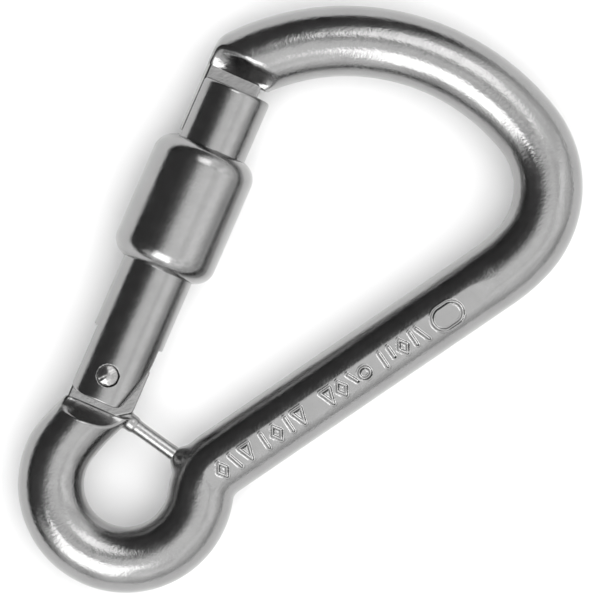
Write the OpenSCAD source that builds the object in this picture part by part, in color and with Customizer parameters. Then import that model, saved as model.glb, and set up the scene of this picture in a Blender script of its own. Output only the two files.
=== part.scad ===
// Locking carabiner bent from round stainless bar, with a sprung gate and a screw sleeve.
// It lies flat: +Y runs up the closed gate, +X points from the gate to the spine,
// and +Z is through the thickness. Lengths are in millimetres, angles in degrees.

/* [Bar] */
// Diameter of the round bar
bar_d = 10; // [9.6:0.1:10.4]
// Centreline radius of the rope eye
eye_r = 11.05; // [10.8:0.05:11.4]
// Centreline radius of the gentle lead from the hinge into the eye
lead_r = 37.4; // [35:0.5:40]
// Turn of that lead
lead_turn = 11.3; // [10:0.1:12]
// Centreline radius of the reverse bend between eye and spine
notch_r = 7; // [6.5:0.1:8]
// Lean of the spine, from +X
spine_lean = 57.8; // [57:0.1:58.5]
// Distance from the eye's centre to the spine's centreline
spine_offset = 5.13; // [4.9:0.01:5.3]
// Straight length of the spine
spine_len = 48.7; // [48:0.1:49.5]
// Centreline radius of the easy bend at the top of the spine
shoulder_r = 24.4; // [23:0.1:26]
// Turn of that bend
shoulder_turn = 13.1; // [12:0.1:14]
// Centreline radius of the tight bend at the far corner
corner_r = 13.84; // [13.5:0.01:14.2]
// Turn of the tight bend
corner_turn = 81.3; // [80:0.1:82]
// Centreline radius of the bow over the top
bow_r = 34.2; // [33.8:0.1:34.6]
// Turn of the bow, up to the nose
bow_turn = 76; // [75:0.5:77]

/* [Gate] */
// Diameter of the gate tube
gate_d = 10.8; // [10.6:0.1:11]
// Height of the gate's top end above the hinge datum
gate_top = 46.2; // [46:0.1:46.4]
// Depth of the gate's heel below the hinge datum
gate_heel = 3.8; // [3.6:0.1:4]
// Taper of the heel's inner side, which clears the eye bar as the gate opens
heel_taper = 19; // [17:1:21]
// Widest angle that the gate opens to
gate_open = 38; // [30:1:38]
// Clearance between the gate's slots and the flats inside them, each side
slot_gap = 0.25; // [0.2:0.05:0.3]

/* [Hinge] */
// Offset of the hinge axis from the gate's axis
pivot_x = -0.4; // [-0.5:0.05:0]
// Height of the hinge axis
pivot_y = 0.16; // [0:0.02:0.3]
// Diameter of the hinge rivet
rivet_d = 3.3; // [3:0.1:3.6]
// Running clearance of the rivet in the tang, on the radius
rivet_gap = 0.05; // [0.03:0.01:0.08]
// Thickness of the hinge tang
tang_t = 4; // [3.8:0.1:4.2]
// Radius of the tang's round head
tang_head_r = 4.3; // [4.2:0.05:4.4]
// Eccentricity of the cam on the tang's head
cam_e = 2; // [1.5:0.1:2]

/* [Sleeve] */
// Outside diameter of the screw sleeve
sleeve_d = 15.5; // [15:0.1:16]
// Length of the screw sleeve
sleeve_len = 19.7; // [19:0.1:20]
// Height of the sleeve's lower end when it is screwed down
sleeve_low = 17.2; // [17:0.1:17.4]
// Rounding of the sleeve's ends
sleeve_round = 3; // [2.5:0.1:3.2]
// How far the sleeve climbs to lock the gate
sleeve_climb = 8.5; // [8:0.1:8.5]

/* [Nose] */
// Thickness of the blade that the gate's top slot closes on
blade_t = 4.1; // [3.9:0.1:4.2]
// Height where the blade's flats run out into the bow
blade_root = 47.6; // [47.4:0.1:47.8]
// Height of the blade's free end
blade_tip = 37.5; // [37.4:0.1:37.8]
// Inner edge of the blade
blade_inner_x = 3.3; // [3.1:0.1:3.4]
// Radius of the cutter that mills the flats
cutter_r = 3.1; // [2.8:0.1:3.3]

/* [Eye bar] */
// Diameter of the small bar that closes the rope eye
eye_bar_d = 2.1; // [2:0.1:2.3]

/* [Hidden] */
$fn = 96;

bar_r = bar_d / 2;
gate_r = gate_d / 2;
far = 40;                     // reach of the cutting blocks
eps = 0.01;
ball_extra = 0.03;            // how much fatter a joining ball is than the bar, on the radius
ball_gap = 0.1;               // each stretch of bar stops this far short of the ball's centre

// The centreline, as [x, y, heading] at the end of each stretch.
function left_of(h) = [-sin(h), cos(h)];
function along(h) = [cos(h), sin(h)];
function xy(s) = [s.x, s.y];
function run(s, len) = concat(xy(s) + len * along(s.z), s.z);
function bend_centre(s, r, turn) = xy(s) + sign(turn) * r * left_of(s.z);
function bent(s, r, turn) =
    concat(bend_centre(s, r, turn) - sign(turn) * r * left_of(s.z + turn), s.z + turn);

// The eye's centre follows from where the lead starts, under the hinge.
lead_start = [-0.06, -4.05, -114.5];
eye_start = bent(lead_start, lead_r, lead_turn);
eye_c = bend_centre(eye_start, eye_r, 1);
// The reverse bend touches both the eye and the spine, which fixes where it starts and ends.
notch_reach = eye_r + notch_r;
notch_side = spine_offset + notch_r;
notch_turn = atan2(sqrt(pow(notch_reach, 2) - pow(notch_side, 2)), notch_side);
eye_turn = spine_lean + notch_turn - eye_start.z;
notch_start = bent(eye_start, eye_r, eye_turn);
spine_start = bent(notch_start, notch_r, -notch_turn);
spine_end = run(spine_start, spine_len);
corner_start = bent(spine_end, shoulder_r, shoulder_turn);
bow_start = bent(corner_start, corner_r, corner_turn);
nose = bent(bow_start, bow_r, bow_turn);
corner_c = bend_centre(corner_start, corner_r, 1);
bow_c = bend_centre(bow_start, bow_r, 1);

// Box of the whole part: the origin goes to the centre of its underside.
x_low = -sleeve_d / 2;
x_high = corner_c.x + corner_r + bar_r;
y_low = eye_c.y - eye_r - bar_r;
y_high = bow_c.y + bow_r + bar_r;
origin_shift = [-(x_low + x_high) / 2, -(y_low + y_high) / 2, sleeve_d / 2];

cutter_dip = 0.04;            // the cutter bites this far below the flats
nose_outer_x = -gate_r + 0.05;

// Hinge tang
shoulder_y = -4.65;           // where the tang's flats run out into the bar
tang_root = 0.7;              // how far the tang's stem reaches down into the bar
tang_left = -4.68;
tang_right = 5;
cam_lean = gate_open / 2;     // the cam's offset is level halfway through the travel
cam_c = [pivot_x + cam_e * cos(cam_lean), pivot_y - cam_e * sin(cam_lean)];
cam_r = tang_head_r + cam_e * sin(cam_lean);

// Gate
gate_edge = 0.5;
heel_round_left = 2.4;
heel_round_right = 2.9;
heel_taper_top = 3.2;
heel_slot_top = 6.4;
nose_slot_base = 36.9;
nose_slot_inner = blade_inner_x + 0.2;
plunger_d = 5;
plunger_gap = 0.1;
spring_bore_top = 30;
plunger_tip = pivot_y + tang_head_r + 0.06;
plunger_len = 7;
spring_low = plunger_tip + plunger_len;
spring_od = 4.8;
spring_wire = 0.7;
rivet_crown = 0.25;

// Threaded collar on the gate and the bore that it runs in
lip_gap = 0.1;
lip_len = 1.5;
collar_r = 6.05;
collar_gap = 0.1;
end_play = 0.15;
collar_top = sleeve_low + sleeve_len - lip_len - end_play;
collar_low = sleeve_low + sleeve_climb + lip_len + end_play;
thread_pitch = 1.25;
thread_depth = 0.5;

// Eye bar, from the lug on the shoulder to the boss on the eye
eye_bar_from = [6.2, -5.08];
eye_bar_to = [13, -6.55];
eye_bar_lean = atan2(eye_bar_to.y - eye_bar_from.y, eye_bar_to.x - eye_bar_from.x);
eye_bar_seat = 2.4;           // how deep each end sits in the body
lug_d = 3.6;

// A round stretch of bar that follows a bend of the centreline, up to the balls at its ends.
module bend(s, r, turn) {
    from = turn > 0 ? s.z - 90 : s.z + 90 + turn;
    trim = ball_gap / r * 180 / PI;
    translate(bend_centre(s, r, turn))
        rotate([0, 0, from + trim])
            rotate_extrude(angle = abs(turn) - 2 * trim)
                translate([r, 0])
                    circle(d = bar_d);
}

// A straight rod that starts at s.
module rod(s, len, d) {
    translate(xy(s))
        rotate([0, 90, s.z])
            cylinder(d = d, h = len);
}

// A straight stretch of bar, up to the balls at its ends.
module straight(s, len) {
    rod(run(s, ball_gap), len - 2 * ball_gap, bar_d);
}

// The ball that joins two stretches of bar at s, with its poles along the bar.
module ball(s) {
    translate(xy(s))
        rotate([0, 90, s.z])
            sphere(r = bar_r + ball_extra);
}

// A shaft along +Y, from y to y + len.
module shaft(x, y, len, r) {
    translate([x, y, 0])
        rotate([-90, 0, 0])
            cylinder(r = r, h = len);
}

// A block through the whole thickness between two corners.
module slab(low, high, t = far) {
    translate([low.x, low.y, -t / 2])
        cube([high.x - low.x, high.y - low.y, t]);
}

// The two milled runouts where a flat of thickness t ends at height y, as far across as x_end.
module runouts(y, t, x_end) {
    for (side = [-1, 1])
        translate([-far / 2, y, side * (t / 2 + cutter_r - cutter_dip)])
            rotate([0, 90, 0])
                cylinder(r = cutter_r, h = far / 2 + x_end);
}

module bar_shape() {
    straight(run(lead_start, -8), 8);
    for (s = [lead_start, eye_start, notch_start, spine_start, spine_end, corner_start, bow_start, nose])
        ball(s);
    bend(lead_start, lead_r, lead_turn);
    bend(eye_start, eye_r, eye_turn);
    bend(notch_start, notch_r, -notch_turn);
    straight(spine_start, spine_len);
    bend(spine_end, shoulder_r, shoulder_turn);
    bend(corner_start, corner_r, corner_turn);
    bend(bow_start, bow_r, bow_turn);
    straight(nose, 8);
}

module tang() {
    linear_extrude(tang_t, center = true)
        intersection() {
            union() {
                translate([pivot_x, pivot_y])
                    circle(r = tang_head_r);
                translate(cam_c)
                    circle(r = cam_r);
                translate([tang_left, shoulder_y - tang_root])
                    square([tang_right - tang_left, pivot_y - shoulder_y + tang_root]);
            }
            translate([tang_right - far, -far / 2])
                square([far, far]);
        }
}

module blade() {
    intersection() {
        slab([-gate_r, blade_tip], [blade_inner_x, blade_root + 1], blade_t);
        shaft(0, blade_tip, far, gate_r - 0.1);
    }
}

// Shaft that the eye bar lies in, lengthened by seat at each end.
module eye_bar_line(d, seat) {
    rod(run(concat(eye_bar_from, eye_bar_lean), -seat), norm(eye_bar_to - eye_bar_from) + 2 * seat, d);
}

module eye_bar_seats() {
    rod(run(concat(eye_bar_from, eye_bar_lean), -3), 3, lug_d);
    rod(concat(eye_bar_to, eye_bar_lean), 3, lug_d);
}

// The bar cut square at both ends of its run, and flat on its outside at the nose.
module cut_bar() {
    difference() {
        bar_shape();
        slab([-far / 2, shoulder_y], [tang_right + 4, far / 2]);
        slab([-far / 2, far / 2 - eps], [blade_inner_x + 4, blade_root]);
        slab([-far / 2, blade_root - eps], [nose_outer_x, far * 2]);
    }
}

// The cut bar with the runouts milled into both ends.
module milled_bar() {
    difference() {
        cut_bar();
        runouts(shoulder_y, tang_t, 9);
        runouts(blade_root, blade_t, 12);
    }
}

module body_blank() {
    union() {
        union() {
            union() {
                milled_bar();
                tang();
            }
            blade();
        }
        eye_bar_seats();
    }
}

module hook_body() {
    color("silver")
        difference() {
            body_blank();
            translate([pivot_x, pivot_y, 0])
                cylinder(r = rivet_d / 2 + rivet_gap, h = far, center = true);
            eye_bar_line(eye_bar_d, eye_bar_seat);
        }
}

module eye_bar() {
    color("silver")
        eye_bar_line(eye_bar_d, eye_bar_seat);
}

// Revolved blank of the gate: tube, threaded collar and eased top edge.
module gate_blank() {
    teeth = floor((collar_top - collar_low) / thread_pitch);
    thread = [for (i = [0:teeth - 1], k = [0:3])
        [collar_r - (k == 0 || k == 3 ? thread_depth : 0),
         collar_low + (i + [0.1, 0.4, 0.6, 0.9][k]) * thread_pitch]];
    rotate([-90, 0, 0])
        rotate_extrude()
            polygon(concat(
                [[0, -gate_heel], [gate_r, -gate_heel], [gate_r, collar_low]],
                thread,
                [[gate_r, collar_low + teeth * thread_pitch], [gate_r, gate_top - gate_edge],
                 [gate_r - gate_edge, gate_top], [0, gate_top]]));
}

module gate_barrel() {
    slot_t = tang_t + 2 * slot_gap;
    color("gainsboro")
        difference() {
            gate_blank();
            // The heel is rounded by removing what lies outside its outline.
            difference() {
                slab([-far / 2, -far / 2], [far / 2, 2]);
                linear_extrude(far, center = true)
                    gate_outline_heel();
            }
            translate([gate_r, heel_taper_top, 0])
                rotate([0, 0, -heel_taper])
                    slab([0, -far / 2], [far / 2, 2]);
            slab([-far / 2, -far / 2], [far / 2, heel_slot_top], slot_t);
            slab([-far / 2, nose_slot_base], [nose_slot_inner, 2 * far], blade_t + 2 * slot_gap);
            shaft(pivot_x, plunger_tip - 0.5, spring_bore_top - plunger_tip + 0.5,
                  plunger_d / 2 + plunger_gap);
            translate([pivot_x, pivot_y, 0])
                cylinder(d = rivet_d, h = far, center = true);
        }
}

// The heel's outline, made only of circles and rectangles so that it stays exact.
module gate_outline_heel() {
    translate([-gate_r + heel_round_left, heel_round_left - gate_heel])
        circle(r = heel_round_left);
    translate([gate_r - heel_round_right, heel_round_right - gate_heel])
        circle(r = heel_round_right);
    translate([heel_round_left - gate_r, -gate_heel])
        square([gate_d - heel_round_left - heel_round_right, gate_heel + 4]);
    translate([-gate_r, heel_round_left - gate_heel])
        square([heel_round_left, gate_heel]);
    translate([gate_r - heel_round_right, heel_round_right - gate_heel])
        square([heel_round_right, gate_heel]);
}

module hinge_rivet() {
    flank = sqrt(pow(gate_r, 2) - pow(abs(pivot_x) + rivet_d / 2, 2));
    color("lightgray")
        translate([pivot_x, pivot_y, 0])
            rotate_extrude()
                polygon([[0, -flank - rivet_crown], [rivet_d / 4, -flank - rivet_crown],
                         [rivet_d / 2, -flank], [rivet_d / 2, flank],
                         [rivet_d / 4, flank + rivet_crown], [0, flank + rivet_crown]]);
}

module return_spring() {
    color("dimgray")
        difference() {
            shaft(pivot_x, spring_low, spring_bore_top - spring_low, spring_od / 2);
            shaft(pivot_x, spring_low - 1, far, spring_od / 2 - spring_wire);
        }
}

module spring_plunger() {
    color("darkgray")
        shaft(pivot_x, plunger_tip, plunger_len, plunger_d / 2);
}

// The sleeve's section: rounded ends, two lips that hug the tube and a long relieved bore.
module locking_sleeve() {
    r = sleeve_d / 2;
    lip_r = gate_r + lip_gap;
    color("gainsboro")
        translate([0, sleeve_low, 0])
            rotate([-90, 0, 0])
                rotate_extrude()
                    difference() {
                        union() {
                            translate([lip_r, sleeve_round])
                                square([r - lip_r, sleeve_len - 2 * sleeve_round]);
                            for (y = [sleeve_round, sleeve_len - sleeve_round])
                                translate([r - sleeve_round, y])
                                    circle(r = sleeve_round);
                        }
                        translate([0, -1])
                            square([lip_r, sleeve_len + 2]);
                        translate([0, lip_len])
                            square([collar_r + collar_gap, sleeve_len - 2 * lip_len]);
                    }
}

translate(origin_shift) {
    hook_body();
    eye_bar();
    gate_barrel();
    hinge_rivet();
    return_spring();
    spring_plunger();
    locking_sleeve();
}
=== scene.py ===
import math

import bmesh
import bpy
import numpy as np
from mathutils import Matrix, Vector


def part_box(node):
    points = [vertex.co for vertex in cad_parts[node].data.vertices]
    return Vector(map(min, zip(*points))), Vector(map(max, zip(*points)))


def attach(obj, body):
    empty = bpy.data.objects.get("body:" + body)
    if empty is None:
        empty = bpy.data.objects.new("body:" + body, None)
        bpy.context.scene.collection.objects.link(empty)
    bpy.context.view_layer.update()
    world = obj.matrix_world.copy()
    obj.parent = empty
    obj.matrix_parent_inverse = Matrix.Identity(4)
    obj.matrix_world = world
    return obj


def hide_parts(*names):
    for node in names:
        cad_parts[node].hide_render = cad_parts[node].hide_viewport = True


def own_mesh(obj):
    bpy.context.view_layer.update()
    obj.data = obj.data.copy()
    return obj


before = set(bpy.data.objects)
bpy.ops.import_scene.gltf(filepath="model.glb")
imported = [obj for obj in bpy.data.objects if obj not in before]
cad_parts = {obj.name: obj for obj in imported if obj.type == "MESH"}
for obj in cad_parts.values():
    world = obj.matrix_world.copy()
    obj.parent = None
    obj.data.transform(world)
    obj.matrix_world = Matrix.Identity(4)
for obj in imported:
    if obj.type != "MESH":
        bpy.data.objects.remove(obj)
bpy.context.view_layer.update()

# The looks of the locking carabiner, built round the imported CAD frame.
# Shapes are worked out in millimetres in the gate's own frame: the origin is on the gate's axis at the
# hinge datum, +Y runs up the gate, +X points to the spine and +Z is up. place() takes them to the row frame.
# A signed distance function gives each point its distance from a piece's surface, below zero inside it.

MM = 0.001
GATE_HEEL = 3.8          # how far the gate's heel is below the hinge datum
_sleeve_low, _sleeve_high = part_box("locking_sleeve")
_gate_low, _gate_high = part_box("gate_barrel")
_rivet_low, _rivet_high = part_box("hinge_rivet")
ORIGIN = np.array([
    (_sleeve_low.x + _sleeve_high.x) / 2,
    _gate_low.y + GATE_HEEL * MM,
    (_sleeve_low.z + _sleeve_high.z) / 2,
])


def place(points):
    """Gate-frame millimetres to row-frame metres."""
    return np.asarray(points, float) * MM + ORIGIN


def local(corner):
    """A row-frame corner in gate-frame millimetres."""
    return (np.array(corner) - ORIGIN) / MM


# Sizes that the CAD pieces share with the looks
GATE_R = 5.4
GATE_TOP = local(_gate_high)[1]
SLEEVE_LOW = local(_sleeve_low)[1]
SLEEVE_HIGH = local(_sleeve_high)[1]
SLEEVE_R = (_sleeve_high.x - _sleeve_low.x) / 2 / MM
PIVOT = (local(_rivet_low) + local(_rivet_high))[:2] / 2
RIVET_R = (_rivet_high.x - _rivet_low.x) / 2 / MM


# ---------------------------------------------------------------- centreline of the bar

def unit(heading):
    """The direction of a heading in degrees."""
    return np.array([math.cos(math.radians(heading)), math.sin(math.radians(heading))])


def left(heading):
    """The direction square to a heading, on its left."""
    return unit(heading + 90)


def past_line(x, y, point, out):
    """How far points are past the line through point that is square to the direction out."""
    return (x - point[0]) * out[0] + (y - point[1]) * out[1]


class Stretch:
    """A straight or bent stretch of the centreline: it starts at a point with a heading in degrees."""

    def __init__(self, start, heading, length=0.0, radius=0.0, turn=0.0):
        self.start, self.heading, self.turn = np.array(start, float), heading, turn
        self.side = 1 if turn > 0 else -1
        self.radius = radius
        if turn:
            self.length = radius * math.radians(abs(turn))
            self.centre = self.start + self.side * radius * left(heading)
            self.end = self.centre - self.side * radius * left(heading + turn)
        else:
            self.length = length
            self.end = self.start + length * unit(heading)
        self.end_heading = heading + turn

    def nearest(self, x, y):
        """Distance from each point to the stretch, and how far along it the nearest point is."""
        if not self.turn:
            d = unit(self.heading)
            s = np.clip(past_line(x, y, self.start, d), 0, self.length)
            return np.hypot(x - self.start[0] - s * d[0], y - self.start[1] - s * d[1]), s
        qx, qy = x - self.centre[0], y - self.centre[1]
        first = math.radians(self.heading - 90 * self.side)
        middle = first + self.side * math.radians(abs(self.turn)) / 2
        half = math.radians(abs(self.turn)) / 2
        angle = np.arctan2(qy, qx) - middle
        angle = (angle + math.pi) % (2 * math.pi) - math.pi
        angle = np.clip(angle, -half, half)
        px = self.centre[0] + self.radius * np.cos(middle + angle)
        py = self.centre[1] + self.radius * np.sin(middle + angle)
        return np.hypot(x - px, y - py), (half + self.side * angle) * self.radius


HINGE_HEADING = -114.5   # the bar's heading where it leaves the hinge, in degrees
TAIL = 8                 # straight run past each end of the bent path, where the milled ends begin


def centreline():
    """The bar's centreline from the hinge, round the eye, up the spine and over the bow to the nose."""
    eye_r, notch_r, spine_lean, spine_offset = 11.05, 7.0, 57.8, 5.13
    lead = Stretch((-0.06, -4.05), HINGE_HEADING, radius=37.4, turn=11.3)
    reach, side = eye_r + notch_r, spine_offset + notch_r
    notch_turn = math.degrees(math.atan2(math.sqrt(reach**2 - side**2), side))
    eye = Stretch(lead.end, lead.end_heading, radius=eye_r, turn=spine_lean + notch_turn - lead.end_heading)
    notch = Stretch(eye.end, eye.end_heading, radius=notch_r, turn=-notch_turn)
    spine = Stretch(notch.end, spine_lean, length=48.7)
    shoulder = Stretch(spine.end, spine_lean, radius=24.4, turn=13.1)
    corner = Stretch(shoulder.end, shoulder.end_heading, radius=13.84, turn=81.3)
    bow = Stretch(corner.end, corner.end_heading, radius=34.2, turn=76)
    tail_in = Stretch(lead.start - TAIL * unit(HINGE_HEADING), HINGE_HEADING, length=TAIL)
    tail_out = Stretch(bow.end, bow.end_heading, length=TAIL)
    return [tail_in, lead, eye, notch, spine, shoulder, corner, bow, tail_out]


PATH = centreline()
# The bar's radius at the start of each stretch and at the last one's end: it swells a little along the bow.
BAR_R = [4.95, 4.95, 4.85, 4.85, 5.0, 5.03, 5.06, 5.12, 5.2, 5.2]
SPINE = PATH[4]
SPINE_ALONG = unit(SPINE.heading)
SPINE_ACROSS = -left(SPINE.heading)      # away from the gate


def on_spine(x, y):
    """How far points are along the spine from its low end, and across it away from the gate."""
    return past_line(x, y, SPINE.start, SPINE_ALONG), past_line(x, y, SPINE.start, SPINE_ACROSS)


# ---------------------------------------------------------------- signed distances

FAR = 9.0                # a distance that is out of reach of every blend


def fade(value, start, span):
    """0 up to start, and then climbing to 1 over span."""
    return np.clip((value - start) / span, 0, 1)


def smooth_min(a, b, k):
    """The smaller of two distances, with a rounding of about k where they cross."""
    h = np.clip(0.5 + 0.5 * (b - a) / k, 0, 1)
    return b * (1 - h) + a * h - k * h * (1 - h)


def smooth_max(a, b, k):
    """The larger of two distances, with a rounding of about k where they cross."""
    return -smooth_min(-a, -b, k)


def box2(u, v, low, high):
    """Distance from a rectangle in a plane."""
    cu, cv = (low[0] + high[0]) / 2, (low[1] + high[1]) / 2
    du = np.abs(u - cu) - (high[0] - low[0]) / 2
    dv = np.abs(v - cv) - (high[1] - low[1]) / 2
    return np.hypot(np.maximum(du, 0), np.maximum(dv, 0)) + np.minimum(np.maximum(du, dv), 0)


def capsule(x, y, z, a, b, r):
    """Distance from a round-ended rod of radius r from a to b."""
    a, b = np.array(a, float), np.array(b, float)
    d = b - a
    px, py, pz = x - a[0], y - a[1], z - a[2]
    t = np.clip((px * d[0] + py * d[1] + pz * d[2]) / (d @ d), 0, 1)
    return np.sqrt((px - t * d[0]) ** 2 + (py - t * d[1]) ** 2 + (pz - t * d[2]) ** 2) - r


def bar(x, y, z):
    """The round bar along the whole path, its radius easing from each stretch to the next."""
    best, radius = None, None
    for k, stretch in enumerate(PATH):
        d, s = stretch.nearest(x, y)
        t = s / stretch.length
        t = t * t * (3 - 2 * t)
        r = BAR_R[k] * (1 - t) + BAR_R[k + 1] * t
        if best is None:
            best, radius = d, r
        else:
            closer = d < best
            best, radius = np.where(closer, d, best), np.where(closer, r, radius)
    return np.sqrt(best**2 + z**2) - radius


# The milled ends: the tang that the gate swings on and the blade that its nose closes over
SHOULDER_Y = -4.65
TANG_T = 4.0
TANG_SIDES = (-4.75, 5.0)
TANG_HEAD_R = 4.3
TANG_CORNER = (3.3, -4.66)
TANG_CORNER_OUT = unit(-54.8)
CAM_THROW = 2.0
CAM_LEAN = math.radians(19)
BLADE_T = 4.1
BLADE_SIDES = (-5.6, 3.3)
BLADE_ROOT = 47.6
BLADE_TIP = 37.5
BLADE_GAP = 0.05         # how far the blade's rounded sides are inside the gate's own radius
OUTLINE_EDGE = 0.3       # rounding of the tang's corners
EDGE = 0.28              # rounding that tumbling leaves on milled edges
RUNOUT_MIDDLE = -0.6     # where across the bar the foot of a milled ramp is nearest its root
RUNOUT_BOW = 0.02        # how fast the foot bows away from there, per millimetre
RUNOUT_EDGE = 0.3


def runouts(x, y, z, root, thick, x_end, up, ramp_r, foot):
    """The pair of hollow ramps where a milled flat runs out into the bar.

    They start at root on a plate of the given thickness, climb towards +Y where up is 1 and towards -Y
    where it is -1, and foot is their slope where they start.
    """
    run = up * (y - root) - RUNOUT_BOW * (x - RUNOUT_MIDDLE) ** 2
    height = np.abs(z) - thick / 2
    ramp = np.hypot(run + ramp_r * np.sin(foot), height - ramp_r * np.cos(foot)) - ramp_r
    return np.maximum(smooth_max(ramp, -height, RUNOUT_EDGE), x - x_end)


def tang(x, y, z):
    """The hinge tang: a round head and the cam's lobe beside it, on a square stem with one corner cut."""
    head = np.hypot(x - PIVOT[0], y - PIVOT[1]) - TANG_HEAD_R
    cam_x, cam_drop = CAM_THROW * math.cos(CAM_LEAN), CAM_THROW * math.sin(CAM_LEAN)
    cam = np.hypot(x - PIVOT[0] - cam_x, y - PIVOT[1] + cam_drop) - TANG_HEAD_R - cam_drop
    stem = box2(x, y, (TANG_SIDES[0], SHOULDER_Y - 1), (TANG_SIDES[1], PIVOT[1]))
    outline = smooth_max(np.minimum(np.minimum(head, cam), stem), x - TANG_SIDES[1], OUTLINE_EDGE)
    outline = smooth_max(outline, past_line(x, y, TANG_CORNER, TANG_CORNER_OUT), OUTLINE_EDGE)
    return smooth_max(outline, np.abs(z) - TANG_T / 2, EDGE)


def blade(x, y, z):
    """The nose blade: a flat plate with its sides rounded to the gate's outline."""
    outline = box2(x, y, (BLADE_SIDES[0], BLADE_TIP), (BLADE_SIDES[1], BLADE_ROOT + 1.5))
    d = smooth_max(outline, np.abs(z) - BLADE_T / 2, EDGE)
    return smooth_max(d, np.hypot(x, z) - (GATE_R - BLADE_GAP), EDGE)


# ---------------------------------------------------------------- marks stamped on the spine

MARK_HALF = 1.15         # half of a mark's height across the bar
STAMP_DEPTH = 0.16
STAMP_HALF_WIDTH = 0.24
LIP_HEIGHT = 0.045       # metal pushed up beside each stroke
LIP_AT = 0.36
LIP_SPREAD = 0.12
MARKS_OFFSET = 1.0       # how far the marks' middle line is off the spine's, away from the gate
MARKS_SPAN = (-3, 45)    # along the spine, the stretch that holds all the marks
MARKS_REACH = 3.2        # across it, to each side of their middle line


def stroke(a, b):
    """Distance from a straight stroke."""
    a, b = np.array(a, float), np.array(b, float)
    d = b - a

    def distance(u, v):
        t = np.clip(((u - a[0]) * d[0] + (v - a[1]) * d[1]) / (d @ d), 0, 1)
        return np.hypot(u - a[0] - t * d[0], v - a[1] - t * d[1])
    return distance


def loop(points):
    """Distance from the outline through the points."""
    sides = [stroke(p, q) for p, q in zip(points, points[1:] + points[:1])]
    return lambda u, v: np.minimum.reduce([side(u, v) for side in sides])


def oval(u0, v0, a, b):
    """Distance from a long oval's outline, a and b being half its length and half its width."""
    def distance(u, v):
        s = np.clip(np.abs(u - u0) - (a - b), 0, None)
        return np.abs(np.hypot(s, v - v0) - b)
    return distance


def tick(u, lean=0.0, high=MARK_HALF):
    return stroke((u - lean, -MARK_HALF), (u + lean, high))


def diamond(u):
    return loop([(u - 0.75, 0), (u, MARK_HALF), (u + 0.75, 0), (u, -MARK_HALF)])


def wedge(u):
    return loop([(u - 0.8, -MARK_HALF), (u + 0.8, -MARK_HALF), (u, MARK_HALF)])


def ring(u):
    return oval(u, 0, 0.85, 0.8)


# Four groups of plain marks that stand for nothing, and an empty oval, by their place along the spine
MARKS = [
    diamond(-0.3), tick(2.0, 0.3), wedge(4.2),
    tick(7.2), diamond(9.3), tick(11.5), wedge(13.5),
    wedge(18.6), diamond(20.8), tick(23.0, 0.35, 0.4), ring(24.9),
    tick(28.2), tick(29.8, 0.0, 0.5), diamond(31.7), tick(33.6, 0.0, 0.9), tick(35.1, 0.4),
    oval(39.6, -0.1, 2.4, 1.7),
]


def stamp_depth(x, y, z):
    """Depth of the marks at each point, which is below zero on the lips beside their strokes."""
    u, v = on_spine(x, y)
    v = v - MARKS_OFFSET
    near = (z > 0) & (u > MARKS_SPAN[0]) & (u < MARKS_SPAN[1]) & (np.abs(v) < MARKS_REACH)
    depth = np.zeros(x.shape)
    if near.any():
        gap = np.minimum.reduce([mark(u[near], v[near]) for mark in MARKS])
        pressed = STAMP_DEPTH * np.clip(1 - (gap / STAMP_HALF_WIDTH) ** 2, 0, 1)
        depth[near] = pressed - LIP_HEIGHT * np.exp(-(((gap - LIP_AT) / LIP_SPREAD) ** 2))
    return depth


LAND_TILT = math.radians(8)
LAND_HEIGHT = 4.8        # from the bar's middle, so 0.2 mm below its surface
LAND_HALF_WIDTH = 6


def stamping_land(x, y, z):
    """The narrow flat along the front of the spine that the marks are on, which runs out at both ends."""
    u, v = on_spine(x, y)
    past_low = fade(-u, 2, 6)
    past_high = fade(u, 43, 9)
    rise = 3 * past_low**2 + 0.9 * past_high**2
    land = v * math.sin(LAND_TILT) + z * math.cos(LAND_TILT) - LAND_HEIGHT - rise
    return np.where((np.abs(v) < LAND_HALF_WIDTH) & (past_low < 1) & (past_high < 1), land, -FAR)


# ---------------------------------------------------------------- the hook's body and the gate

HINGE_FLANK = (-4.9, -4.5)
HINGE_FLANK_OUT = unit(157)
NOSE_FLANK_X = -5.35
TANG_RAMP_R = 5.0
TANG_RAMP_FOOT = math.radians(24)
BLADE_RAMP_R = 8.0
BLADE_RAMP_GAP = 0.2     # how far above the blade's root its ramps start
CUT_OUTER = -30          # the outer side of the cuts beside the milled ends, well clear of the bar
TANG_CUT_INNER = 9
BLADE_CUT_INNER = 8
BLADE_RAMP_INNER = 12
SQUARE_EDGE = 0.12       # rounding of the bar's square ends
LAND_EDGE = 0.08
NOSE_FLANK_EDGE = 0.9
HINGE_FLANK_EDGE = 0.8
TANG_RAMP_EDGE = 0.45
EYE_BAR_A = np.array([6.2, -5.08, 0.0])
EYE_BAR_B = np.array([13.0, -6.55, 0.0])
EYE_BAR_ALONG = (EYE_BAR_B - EYE_BAR_A) / np.linalg.norm(EYE_BAR_B - EYE_BAR_A)
EYE_BAR_R = 1.05
LUG_R = 1.3              # where the eye bar meets the tang
BOSS_R = 1.55            # where it meets the spine
RIVET_CLEARANCE = 0.05


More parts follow.
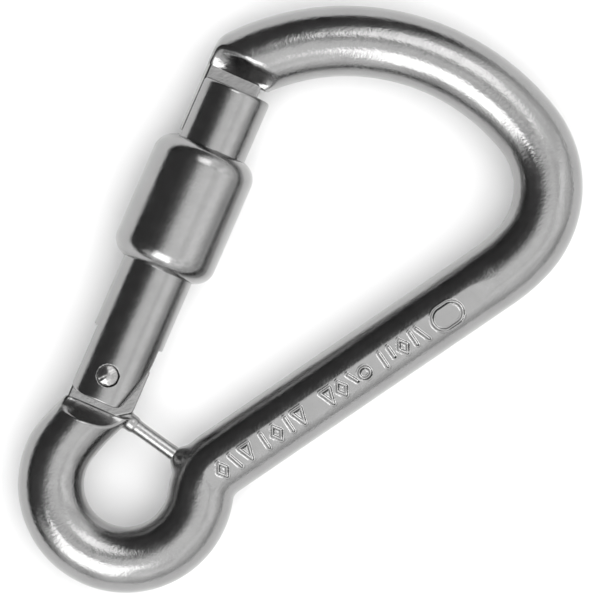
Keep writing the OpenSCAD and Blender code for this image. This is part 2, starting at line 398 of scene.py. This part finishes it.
def hook_body(p):
    """The bent bar with its milled ends, the eye bar's two seats and the stamped marks."""
    x, y, z = p[:, 0], p[:, 1], p[:, 2]
    d = bar(x, y, z)
    d = smooth_max(d, stamping_land(x, y, z), LAND_EDGE)
    # the bar stops square at the tang's shoulder and at the blade's root
    beside_tang = box2(x, y, (CUT_OUTER, SHOULDER_Y), (TANG_CUT_INNER, 30))
    beside_blade = box2(x, y, (CUT_OUTER, 20), (BLADE_CUT_INNER, BLADE_ROOT))
    d = smooth_max(d, -beside_tang, SQUARE_EDGE)
    d = smooth_max(d, -beside_blade, SQUARE_EDGE)
    # its outer side is trimmed to a straight flank at the nose and at the hinge
    d = smooth_max(d, np.where(y > 30, NOSE_FLANK_X - x, -FAR), NOSE_FLANK_EDGE)
    flank = past_line(x, y, HINGE_FLANK, HINGE_FLANK_OUT)
    d = smooth_max(d, np.where(y < 0, flank, -FAR), HINGE_FLANK_EDGE)
    # the tang's ramps, and the blade's, which are crisper and steeper on the inner side
    ramps = runouts(x, y, z, SHOULDER_Y, TANG_T, TANG_CUT_INNER, -1, TANG_RAMP_R, TANG_RAMP_FOOT)
    d = smooth_max(d, -ramps, TANG_RAMP_EDGE)
    softness = 0.8 - 0.55 * fade(x, 1.5, 2.5)
    foot = np.radians(22 + 13 * fade(x, -4, 5))
    root = BLADE_ROOT + BLADE_RAMP_GAP
    ramps = runouts(x, y, z, root, BLADE_T, BLADE_RAMP_INNER, 1, BLADE_RAMP_R, foot)
    d = smooth_max(d, -ramps, softness)
    d = np.minimum(d, tang(x, y, z))
    d = np.minimum(d, blade(x, y, z))
    lug = capsule(x, y, z, EYE_BAR_A - 3.4 * EYE_BAR_ALONG, EYE_BAR_A - 0.6 * EYE_BAR_ALONG, LUG_R)
    boss = capsule(x, y, z, EYE_BAR_B + 1.2 * EYE_BAR_ALONG, EYE_BAR_B + 3 * EYE_BAR_ALONG, BOSS_R)
    d = smooth_min(d, lug, 0.5)
    d = smooth_min(d, boss, 1.6)
    # the tang's bore, with clearance round the rivet
    d = smooth_max(d, RIVET_R + RIVET_CLEARANCE - np.hypot(x - PIVOT[0], y - PIVOT[1]), 0.05)
    return d + stamp_depth(x, y, z)


HEEL_LEFT_R, HEEL_RIGHT_R = 2.4, 2.9
HEEL_SLOT_TOP = 6.4
HEEL_TAPER = (5.4, 3.2)
HEEL_TAPER_OUT = unit(-19)
NOSE_SLOT_BASE = 36.9
NOSE_SLOT_SIDE = 3.5
SLOT_T = 4.6
SLOT_EDGE = 0.16
GATE_TOP_EDGE = 0.7
HEEL_EDGE = 0.25
HEEL_TAPER_EDGE = 0.8
SPRING_TOP = 30.0
COLLAR_R = 6.05
COLLAR_LOW = 27.35
COLLAR_TOP = 35.25
THREAD_PITCH = 1.25
THREAD_DEPTH = 0.55
PLUNGER_TIP = 4.52
BORE_R = 2.6


def threaded_collar(x, y, z):
    """The collar that the sleeve screws on, with a helical thread."""
    turn = np.arctan2(z, x) / (2 * math.pi)
    phase = (y / THREAD_PITCH - turn) % 1.0
    crest = COLLAR_R - THREAD_DEPTH * np.clip(np.abs(phase - 0.5) * 3 - 0.5, 0, 1)
    # the steep flanks make this longer than the true distance, so it is scaled down
    return np.maximum(np.hypot(x, z) - crest, np.maximum(COLLAR_LOW - y, y - COLLAR_TOP)) * 0.7


def heel_outline(x, y):
    """The gate's rounded heel, its corner radius easing from the outer side's to the inner side's."""
    low = -GATE_HEEL
    left_x, right_x = HEEL_LEFT_R - GATE_R, GATE_R - HEEL_RIGHT_R
    cx = np.clip(x, left_x, right_x)
    r_here = HEEL_LEFT_R + (HEEL_RIGHT_R - HEEL_LEFT_R) * fade(x, left_x, right_x - left_x)
    heel = np.where(y < low + r_here, np.hypot(x - cx, y - low - r_here) - r_here, -FAR)
    return np.maximum(heel, low - y)


def gate_barrel(p):
    """The gate's tube: rounded top, threaded collar, rounded and tapered heel, two slots and two bores."""
    x, y, z = p[:, 0], p[:, 1], p[:, 2]
    d = smooth_max(np.hypot(x, z) - GATE_R, y - GATE_TOP, GATE_TOP_EDGE)
    d = np.minimum(d, threaded_collar(x, y, z))
    d = smooth_max(d, np.where(y < 3, heel_outline(x, y), -FAR), HEEL_EDGE)
    taper = past_line(x, y, HEEL_TAPER, HEEL_TAPER_OUT)
    d = smooth_max(d, np.where(y < 8, taper, -FAR), HEEL_TAPER_EDGE)
    heel_slot = np.maximum(np.abs(z) - SLOT_T / 2 + 0.05, y - HEEL_SLOT_TOP)
    d = smooth_max(d, -heel_slot, SLOT_EDGE)
    nose_slot = np.maximum(np.maximum(np.abs(z) - SLOT_T / 2, x - NOSE_SLOT_SIDE), NOSE_SLOT_BASE - y)
    d = smooth_max(d, -nose_slot, SLOT_EDGE)
    spring_bore = np.hypot(x - PIVOT[0], z) - BORE_R
    spring_bore = np.maximum(spring_bore, np.maximum(PLUNGER_TIP - 0.5 - y, y - SPRING_TOP))
    d = smooth_max(d, -spring_bore, 0.06)
    return smooth_max(d, RIVET_R - np.hypot(x - PIVOT[0], y - PIVOT[1]), 0.1)


# ---------------------------------------------------------------- meshes from distances

def gradient(sdf, p, step=0.01):
    """The slope of sdf at each point, by central differences."""
    g = np.empty_like(p)
    for axis in range(3):
        q = p.copy()
        q[:, axis] += step
        high = sdf(q)
        q[:, axis] -= 2 * step
        g[:, axis] = (high - sdf(q)) / (2 * step)
    return g


def settle(sdf, p, rounds=3):
    """Moves points onto the surface of sdf."""
    for _ in range(rounds):
        g = gradient(sdf, p)
        d = sdf(p)
        p = p - np.clip(d / np.maximum((g * g).sum(1), 0.05), -0.2, 0.2)[:, None] * g
    return p


def surface_net(sdf, low, high, h):
    """A quad mesh of the surface where sdf is zero, on a grid of spacing h."""
    axes = [np.arange(a, b + h, h) for a, b in zip(low, high)]
    shape = tuple(len(a) for a in axes)
    values = np.empty(shape)
    yy, zz = np.meshgrid(axes[1], axes[2], indexing="ij")
    for i, x in enumerate(axes[0]):
        q = np.column_stack([np.full(yy.size, x), yy.ravel(), zz.ravel()])
        values[i] = sdf(q).reshape(yy.shape)
    inside = values < 0
    cell_shape = tuple(n - 1 for n in shape)
    total = np.zeros(cell_shape + (3,))
    count = np.zeros(cell_shape)
    quads = []
    for axis in range(3):
        a = [slice(None)] * 3
        b = [slice(None)] * 3
        a[axis], b[axis] = slice(0, -1), slice(1, None)
        a, b = tuple(a), tuple(b)
        cross = inside[a] != inside[b]
        t = np.where(cross, values[a] / np.where(cross, values[a] - values[b], 1), 0)
        where = np.argwhere(cross)
        at = where.astype(float)
        at[:, axis] += t[cross]
        others = [k for k in range(3) if k != axis]
        cells = []
        for da, db in ((0, 0), (1, 0), (1, 1), (0, 1)):
            c = where.copy()
            c[:, others[0]] -= da
            c[:, others[1]] -= db
            ok = ((c >= 0) & (c < np.array(cell_shape))).all(1)
            cells.append(c)
            idx = tuple(c[ok].T)
            np.add.at(total, idx, at[ok])
            np.add.at(count, idx, 1)
        quads.append((cells, inside[a][cross], axis))
    used = count > 0
    number = np.full(cell_shape, -1)
    number[used] = np.arange(used.sum())
    verts = np.array(low) + total[used] / count[used][:, None] * h
    faces = []
    for cells, first_inside, axis in quads:
        ids = np.stack([number[tuple(c.T)] for c in cells], 1)
        flip = ~first_inside if axis != 1 else first_inside
        ids[flip] = ids[flip][:, ::-1]
        faces.append(ids)
    return verts, np.vstack(faces)


def new_object(name, verts, faces, normals=None, smooth=True):
    mesh = bpy.data.meshes.new(name)
    mesh.from_pydata(verts.tolist() if isinstance(verts, np.ndarray) else verts, [],
                     faces.tolist() if isinstance(faces, np.ndarray) else faces)
    mesh.update()
    obj = bpy.data.objects.new(name, mesh)
    bpy.context.scene.collection.objects.link(obj)
    if smooth:
        mesh.polygons.foreach_set("use_smooth", [True] * len(mesh.polygons))
    if normals is not None:
        mesh.normals_split_custom_set_from_vertices(normals.tolist())
    return obj


def refine(verts, faces, wanted):
    """Splits every face whose centre is wanted in four, and its neighbours where they have to follow."""
    bm = bmesh.new()
    mesh = bpy.data.meshes.new("work")
    mesh.from_pydata(verts.tolist(), [], faces.tolist())
    bm.from_mesh(mesh)
    bpy.data.meshes.remove(mesh)
    centres = verts[faces].mean(1)
    pick = wanted(centres)
    bm.faces.ensure_lookup_table()
    edges = set()
    for i in np.flatnonzero(pick):
        edges.update(bm.faces[i].edges)
    bmesh.ops.subdivide_edges(bm, edges=list(edges), cuts=1, use_grid_fill=True)
    bmesh.ops.triangulate(bm, faces=[f for f in bm.faces if len(f.verts) > 4])
    out = np.array([v.co for v in bm.verts])
    polys = [[v.index for v in f.verts] for f in bm.faces]
    bm.free()
    return out, polys


def from_distance(name, sdf, low, high, h, wanted=None):
    """The surface of sdf as an object, with smooth normals taken from sdf itself."""
    verts, faces = surface_net(sdf, low, high, h)
    if wanted is not None:
        verts, faces = refine(verts, faces, wanted)
    verts = settle(sdf, verts)
    normals = gradient(sdf, verts)
    normals /= np.maximum(np.linalg.norm(normals, axis=1), 1e-9)[:, None]
    return new_object(name, place(verts), faces, normals)


def lathe(name, profile, steps, matrix, closed=False, wobble=None):
    """Turns a profile of (radius, height) about +Z in gate millimetres, then moves it by matrix."""
    profile = np.array(profile, float)
    count = len(profile)
    angle = np.linspace(0, 2 * math.pi, steps, endpoint=False)
    x = np.outer(np.cos(angle), profile[:, 0])
    y = np.outer(np.sin(angle), profile[:, 0])
    z = np.tile(profile[:, 1], (steps, 1))
    if wobble is not None:
        z = z + wobble(x, y, z)
    verts = np.stack([x, y, z], 2).reshape(-1, 3)
    faces = []
    for i in range(steps):
        j = (i + 1) % steps
        for k in range(count if closed else count - 1):
            m = (k + 1) % count
            faces.append((i * count + k, j * count + k, j * count + m, i * count + m))
    move = np.array(matrix)
    verts = verts @ move[:3, :3].T + move[:3, 3]
    obj = new_object(name, place(verts), faces)
    clean(obj)
    return obj


WELD = 1e-7


def clean(obj):
    """Welds the points that meet on an axis and makes the faces point outwards."""
    bm = bmesh.new()
    bm.from_mesh(obj.data)
    bmesh.ops.remove_doubles(bm, verts=bm.verts, dist=WELD)
    bmesh.ops.dissolve_degenerate(bm, edges=bm.edges, dist=WELD)
    bmesh.ops.recalc_face_normals(bm, faces=bm.faces)
    bm.to_mesh(obj.data)
    bm.free()
    obj.data.polygons.foreach_set("use_smooth", [True] * len(obj.data.polygons))


def arc(centre, r, start, end, n):
    """n points on an arc, between two angles in degrees."""
    a = np.radians(np.linspace(start, end, n))
    return [(centre[0] + r * math.cos(t), centre[1] + r * math.sin(t)) for t in a]


ALONG_Y = Matrix.Rotation(math.radians(-90), 4, "X")


# ---------------------------------------------------------------- materials

GRAIN = 2600.0           # scale of the tumbling marks
GLOSS_GRAIN = 700.0      # scale of the smears in the gloss
CLOUD_GRAIN = 240.0      # scale of the tint's clouds
BUMP_UNIT = 0.0001


def add_node(nodes, kind, settings=None, operation=None):
    """A new node, with its sockets set by name."""
    node = nodes.new(kind)
    if operation:
        node.operation = operation
    for name, value in (settings or {}).items():
        node.inputs[name].default_value = value
    return node


def add_range(nodes, links, source, a, b, low, high):
    """A source value taken from the range a to b to the range low to high."""
    limits = {"From Min": a, "From Max": b, "To Min": low, "To Max": high}
    node = add_node(nodes, "ShaderNodeMapRange", limits)
    links.new(source, node.inputs["Value"])
    return node.outputs["Result"]


def steel(name, base, rough, hair=(1, 1, 1), pit=0.02, wave=0.0):
    """Polished stainless: a mirror with tumbling marks, faint hairlines, and roughness that wanders."""
    mat = bpy.data.materials.new(name)
    mat.use_nodes = True
    nodes, links = mat.node_tree.nodes, mat.node_tree.links
    shader = nodes["Principled BSDF"]
    shader.inputs["Metallic"].default_value = 1.0
    coords = nodes.new("ShaderNodeTexCoord")

    def noise(scale, detail, stretch=(1, 1, 1)):
        mapping = add_node(nodes, "ShaderNodeMapping", {"Scale": stretch})
        links.new(coords.outputs["Object"], mapping.inputs["Vector"])
        texture = add_node(nodes, "ShaderNodeTexNoise", {"Scale": scale, "Detail": detail, "Roughness": 0.6})
        links.new(mapping.outputs["Vector"], texture.inputs["Vector"])
        return texture.outputs["Fac"]

    def bump(source, height, below=None):
        node = add_node(nodes, "ShaderNodeBump", {"Strength": 1.0, "Distance": BUMP_UNIT})
        links.new(add_range(nodes, links, source, 0, 1, 0, height), node.inputs["Height"])
        if below is not None:
            links.new(below, node.inputs["Normal"])
        return node.outputs["Normal"]

    tint = nodes.new("ShaderNodeMix")
    tint.data_type = "RGBA"
    cloud = noise(CLOUD_GRAIN, 3.0)
    links.new(add_range(nodes, links, cloud, 0.35, 0.65, 0.0, 1.0), tint.inputs["Factor"])
    tint.inputs["A"].default_value = (*[c * 0.93 for c in base], 1)
    tint.inputs["B"].default_value = (*base, 1)
    links.new(tint.outputs["Result"], shader.inputs["Base Color"])
    smear = noise(GLOSS_GRAIN, 4.0)
    links.new(add_range(nodes, links, smear, 0.3, 0.7, rough * 0.7, rough * 1.4), shader.inputs["Roughness"])
    swell = bump(noise(GRAIN * 0.16, 2.0), wave)
    pits = bump(noise(GRAIN, 3.0), pit, swell)
    lines = bump(noise(GRAIN, 2.0, hair), pit * 0.8, pits)
    links.new(lines, shader.inputs["Normal"])
    return mat


TURNED_HAIR = (0.12, 3.0, 0.12)          # hairlines that run round a turned piece
BAR_STEEL = steel("bar_steel", (0.31, 0.309, 0.308), 0.17, pit=0.16, wave=0.36)
TURNED_STEEL = steel("turned_steel", (0.31, 0.309, 0.308), 0.17, hair=TURNED_HAIR, pit=0.15, wave=0.2)
SLEEVE_STEEL = steel("sleeve_steel", (0.32, 0.319, 0.318), 0.16, hair=TURNED_HAIR, pit=0.13, wave=0.22)
RIVET_STEEL = steel("rivet_steel", (0.33, 0.327, 0.324), 0.22, pit=0.08, wave=0.3)
SPRING_STEEL = steel("spring_steel", (0.40, 0.40, 0.40), 0.25, pit=0.05, wave=0.1)


def finish_piece(obj, body, node, material):
    """Gives a piece its steel and its place in the frame."""
    obj.data.materials.append(material)
    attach(obj, body)
    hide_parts(node)


# ---------------------------------------------------------------- pieces

BODY_GRID = 0.24
GATE_GRID = 0.15


def near_details(c):
    """Where the body's mesh is finer: the marked strip, the nose, and the hinge with the eye bar's lug."""
    x, y, z = c[:, 0], c[:, 1], c[:, 2]
    u, v = on_spine(x, y)
    strip = (u > -2) & (u < 43.5) & (np.abs(v - MARKS_OFFSET) < 2.6) & (z > 0)
    nose = (x < 8) & (y > 40) & (y < 53)
    hinge = (x < 8) & (y > -9) & (y < 6)
    return strip | nose | hinge


def make_body():
    low, high = [-8.6, -30.2, -6.1], [54.6, 67.8, 6.1]
    obj = from_distance("hook_bar", hook_body, low, high, BODY_GRID, near_details)
    finish_piece(obj, "body", "hook_body", BAR_STEEL)


def make_gate():
    low = [-GATE_R - 1, -GATE_HEEL - 0.5, -GATE_R - 1]
    high = [GATE_R + 1, GATE_TOP + 0.5, GATE_R + 1]
    obj = from_distance("gate_tube", gate_barrel, low, high, GATE_GRID)
    finish_piece(obj, "gate", "gate_barrel", TURNED_STEEL)


def make_sleeve():
    """The sleeve: two rounded ends with tight lips, and the wider bore between them."""
    r, end_r, lip, inner = SLEEVE_R, 3.0, GATE_R + 0.1, COLLAR_R + 0.1
    length = SLEEVE_HIGH - SLEEVE_LOW
    outer = arc((r - end_r, end_r), end_r, -75, 0, 22)
    outer += [(r, end_r + (length - 2 * end_r) * t) for t in np.linspace(0.04, 0.96, 24)]
    outer += arc((r - end_r, length - end_r), end_r, 0, 75, 22)
    neck_low = [(lip, 0.45), (lip + 0.06, 0.25), (lip + 0.22, 0.14)]
    neck_high = [(lip + 0.22, length - 0.14), (lip + 0.06, length - 0.25), (lip, length - 0.45)]
    bore = [(lip, length - 1.5), (inner, length - 1.6)]
    bore += [(inner, y) for y in np.linspace(length - 2.0, 2.0, 12)]
    bore += [(inner, 1.6), (lip, 1.5)]
    profile = neck_low + outer + neck_high + bore
    obj = lathe("screw_sleeve", profile, 256, Matrix.Translation((0, SLEEVE_LOW, 0)) @ ALONG_Y, closed=True)
    finish_piece(obj, "sleeve", "locking_sleeve", SLEEVE_STEEL)


def make_rivet():
    """A plain pin, peened at both ends: a low domed head with a beaten surface."""
    half = (_rivet_high.z - _rivet_low.z) / 2 / MM
    face = half - 0.18
    top = [(0, face + 0.16), (0.3, face + 0.15), (0.6, face + 0.10), (0.9, face + 0.02), (1.15, face - 0.08),
           (1.4, face - 0.17), (1.58, face - 0.22), (RIVET_R, face - 0.32)]
    profile = [(r, -z) for r, z in top] + [(RIVET_R, z) for z in np.linspace(-face + 0.6, face - 0.6, 8)]
    profile += top[::-1]

    def beaten(x, y, z):
        bumps = 0.02 * np.sin(4.1 * x + 1.7) * np.sin(4.6 * y - 0.6) + 0.012 * np.sin(8.3 * x - 6.1 * y)
        return bumps * np.sign(z) * (np.abs(z) > face - 0.25)

    obj = lathe("peened_rivet", profile, 64, Matrix.Translation((PIVOT[0], PIVOT[1], 0)), wobble=beaten)
    finish_piece(obj, "gate", "hinge_rivet", RIVET_STEEL)


def make_eye_bar():
    """The small cross bar, with a slight swell where each end is pressed in."""
    along = EYE_BAR_B - EYE_BAR_A
    span = float(np.linalg.norm(along))
    seat, swell, swell_width = 2.3, 0.05, 0.6
    profile = [(0, -seat), (EYE_BAR_R * 0.8, -seat), (EYE_BAR_R, -seat + 0.2)]
    for t in np.linspace(-seat + 0.5, span + seat - 0.5, 40):
        low_end = swell * math.exp(-((t / swell_width) ** 2))
        high_end = swell * math.exp(-(((t - span) / swell_width) ** 2))
        profile.append((EYE_BAR_R + low_end + high_end, t))
    profile += [(EYE_BAR_R, span + seat - 0.2), (EYE_BAR_R * 0.8, span + seat), (0, span + seat)]
    turn = Vector((0, 0, 1)).rotation_difference(Vector(along)).to_matrix().to_4x4()
    obj = lathe("cross_bar", profile, 48, Matrix.Translation(Vector(EYE_BAR_A)) @ turn)
    finish_piece(obj, "body", "eye_bar", BAR_STEEL)


PLUNGER_LEN = 7.0
PLUNGER_R = 2.5


def make_plunger():
    """The push piece between the cam and the spring, with its end edges eased."""
    profile = [(0, 0), (1.9, 0), (2.3, 0.06), (PLUNGER_R, 0.3)]
    profile += [(PLUNGER_R, t) for t in np.linspace(0.8, PLUNGER_LEN - 1.2, 8)]
    profile += [(PLUNGER_R, PLUNGER_LEN - 0.5), (2.3, PLUNGER_LEN - 0.2), (1.6, PLUNGER_LEN - 0.12),
                (0, PLUNGER_LEN - 0.1)]
    obj = lathe("cam_plunger", profile, 64, Matrix.Translation((PIVOT[0], PLUNGER_TIP, 0)) @ ALONG_Y)
    finish_piece(obj, "plunger", "spring_plunger", SPRING_STEEL)


SPRING_WIRE_R = 0.35
SPRING_COIL_R = 2.0
SPRING_TURNS = 13
SPRING_CLOSED = 1.5      # turns at each end that lie against each other


def make_spring():
    """A coil of round wire with closed ends, in the bore above the plunger."""
    per_turn, sides = 28, 10
    low, high = PLUNGER_TIP + PLUNGER_LEN + SPRING_WIRE_R, SPRING_TOP - SPRING_WIRE_R
    n = SPRING_TURNS * per_turn
    t = np.linspace(0, 1, n + 1)
    angle = 2 * math.pi * SPRING_TURNS * t
    closed = SPRING_CLOSED / SPRING_TURNS
    closed_climb = 2 * SPRING_WIRE_R * 1.02 * SPRING_TURNS
    climb = fade(t, closed, 1 - 2 * closed)
    y = low + closed_climb * (np.minimum(t, closed) + np.maximum(t - 1 + closed, 0))
    y = y + climb * (high - low - closed_climb * 2 * closed)
    centre = np.column_stack([PIVOT[0] + SPRING_COIL_R * np.cos(angle), y, SPRING_COIL_R * np.sin(angle)])
    tangent = np.gradient(centre, axis=0)
    tangent /= np.linalg.norm(tangent, axis=1)[:, None]
    outward = np.column_stack([np.cos(angle), 0 * angle, np.sin(angle)])
    side = np.cross(tangent, outward)
    side /= np.linalg.norm(side, axis=1)[:, None]
    a = np.linspace(0, 2 * math.pi, sides, endpoint=False)[None, :, None]
    rings = centre[:, None] + SPRING_WIRE_R * (np.cos(a) * outward[:, None] + np.sin(a) * side[:, None])
    faces = []
    for i in range(n):
        for k in range(sides):
            m = (k + 1) % sides
            faces.append((i * sides + k, i * sides + m, (i + 1) * sides + m, (i + 1) * sides + k))
    faces.append(tuple(range(sides))[::-1])
    faces.append(tuple(n * sides + k for k in range(sides)))
    obj = new_object("coil_spring", place(rings.reshape(-1, 3)), faces)
    clean(obj)
    finish_piece(obj, "gate", "return_spring", SPRING_STEEL)
    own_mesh(obj)


make_body()
make_gate()
make_sleeve()
make_rivet()
make_eye_bar()
make_plunger()
make_spring()


# ---------------------------------------------------------------- floor, light and camera

VIEW_CENTRE = (20.94, 21.54)     # gate-frame millimetres under the middle of the picture
VIEW_WIDTH = 88.2                # gate-frame millimetres across the picture
GATE_LEAN = 66.5                 # the gate's angle in the picture, from horizontal
CAMERA_HEIGHT = 1.0
SENSOR = 36
FLOOR_HALF = 6.0
FLOOR_GREY = 0.9
SOFT_BOX_DISTANCE = 1.5
# The room's brightness along the line from its dark side (0) to its bright side (1)
ROOM = [(0.0, 0.08), (0.2, 0.10), (0.32, 0.16), (0.38, 0.5), (0.44, 1.0), (0.5, 1.42), (0.66, 1.3),
        (0.76, 1.6), (0.9, 1.5), (1.0, 1.3)]
BRIGHT_SIDE = -40                # the bright side's direction in the picture, in degrees from the right


def make_floor():
    """A plain pale floor."""
    a = FLOOR_HALF
    obj = new_object("floor", [(-a, -a, 0), (a, -a, 0), (a, a, 0), (-a, a, 0)], [(0, 1, 2, 3)], smooth=False)
    mat = bpy.data.materials.new("floor_paper")
    mat.use_nodes = True
    shader = mat.node_tree.nodes["Principled BSDF"]
    shader.inputs["Base Color"].default_value = (*[FLOOR_GREY] * 3, 1)
    shader.inputs["Roughness"].default_value = 0.9
    shader.inputs["Specular IOR Level"].default_value = 0.1
    obj.data.materials.append(mat)


def picture_axes():
    """Right and up in the picture, as row-frame directions."""
    turn = math.radians(90 - GATE_LEAN)
    return Vector((math.cos(turn), math.sin(turn), 0)), Vector((-math.sin(turn), math.cos(turn), 0))


def view_middle():
    """The point on the gate's own level that is in the middle of the picture."""
    return Vector(place([(*VIEW_CENTRE, 0)])[0])


def area_light(name, side, up, height, size, power, glossy=True, diffuse=True):
    """A soft box at side and up in picture directions, in metres from the view's middle, and aimed at it."""
    right_axis, up_axis = picture_axes()
    target = view_middle()
    data = bpy.data.lights.new(name, "AREA")
    data.shape = "RECTANGLE"
    data.size, data.size_y = size
    data.energy = power
    obj = bpy.data.objects.new(name, data)
    bpy.context.scene.collection.objects.link(obj)
    obj.location = target + right_axis * side + up_axis * up + Vector((0, 0, height))
    obj.rotation_euler = (target - obj.location).to_track_quat("-Z", "Y").to_euler()
    obj.visible_glossy = glossy
    obj.visible_diffuse = diffuse


def soft_box(name, angle, tilt, size, radiance):
    """A box that only reflections see, at an angle in the picture and a tilt from overhead in degrees."""
    out = SOFT_BOX_DISTANCE * math.sin(math.radians(tilt))
    side, up = out * math.cos(math.radians(angle)), out * math.sin(math.radians(angle))
    power = radiance * math.pi * size[0] * size[1]
    area_light(name, side, up, SOFT_BOX_DISTANCE * math.cos(math.radians(tilt)), size, power, diffuse=False)


def make_world():
    """A room that is dark on one side and softly bright on the other, and dims towards the horizon."""
    world = bpy.data.worlds.new("studio")
    bpy.context.scene.world = world
    world.use_nodes = True
    nodes, links = world.node_tree.nodes, world.node_tree.links
    background = nodes["Background"]
    right_axis, up_axis = picture_axes()
    turn = math.radians(BRIGHT_SIDE)
    direction = nodes.new("ShaderNodeTexCoord").outputs["Generated"]

    def noise(settings):
        texture = add_node(nodes, "ShaderNodeTexNoise", settings)
        links.new(direction, texture.inputs["Vector"])
        return texture.outputs["Fac"]

    def combine(operation, first, second):
        node = add_node(nodes, "ShaderNodeMath", operation=operation)
        links.new(first, node.inputs[0])
        links.new(second, node.inputs[1])
        return node.outputs["Value"]

    dot = add_node(nodes, "ShaderNodeVectorMath", operation="DOT_PRODUCT")
    dot.inputs[1].default_value = right_axis * math.cos(turn) + up_axis * math.sin(turn)
    links.new(direction, dot.inputs[0])
    across = add_range(nodes, links, dot.outputs["Value"], -1.0, 1.0, 0.0, 1.0)
    # clutter in the room: the edge between the two sides wanders, and neither side is even
    clutter = noise({"Scale": 2.6, "Detail": 4.0, "Roughness": 0.6})
    across = combine("ADD", across, add_range(nodes, links, clutter, 0.3, 0.7, -0.1, 0.1))
    ramp = nodes.new("ShaderNodeValToRGB")
    links.new(across, ramp.inputs["Fac"])
    elements = ramp.color_ramp.elements
    while len(elements) < len(ROOM):
        elements.new(0.5)
    for element, (at, grey) in zip(elements, ROOM):
        element.position = at
        element.color = (grey, grey, grey, 1)
    parts = nodes.new("ShaderNodeSeparateXYZ")
    links.new(direction, parts.inputs["Vector"])
    rising = add_range(nodes, links, parts.outputs["Z"], 0.0, 0.5, 0.48, 1.0)
    uneven = add_range(nodes, links, noise({"Scale": 5.5, "Detail": 2.0}), 0.3, 0.7, 0.7, 1.3)
    links.new(ramp.outputs["Color"], background.inputs["Color"])
    links.new(combine("MULTIPLY", rising, uneven), background.inputs["Strength"])


def make_camera():
    """A camera straight above, far enough away that the view is nearly parallel."""
    right_axis, up_axis = picture_axes()
    data = bpy.data.cameras.new("camera")
    data.sensor_width = SENSOR
    data.lens = SENSOR * CAMERA_HEIGHT / (VIEW_WIDTH * MM)
    data.clip_end = 10
    obj = bpy.data.objects.new("camera", data)
    bpy.context.scene.collection.objects.link(obj)
    axes = Matrix((right_axis, up_axis, Vector((0, 0, 1)))).transposed().to_4x4()
    obj.matrix_world = Matrix.Translation(view_middle() + Vector((0, 0, CAMERA_HEIGHT))) @ axes
    bpy.context.scene.camera = obj


make_floor()
make_world()
make_camera()
area_light("floor_fill", 0.0, 0.0, 1.6, (2.4, 2.4), 30, glossy=False)
soft_box("window", 243, 41, (0.95, 0.98), 2.7)
soft_box("strip", 68, 33, (0.65, 0.75), 2.0)
bpy.context.scene.view_settings.view_transform = "Standard"
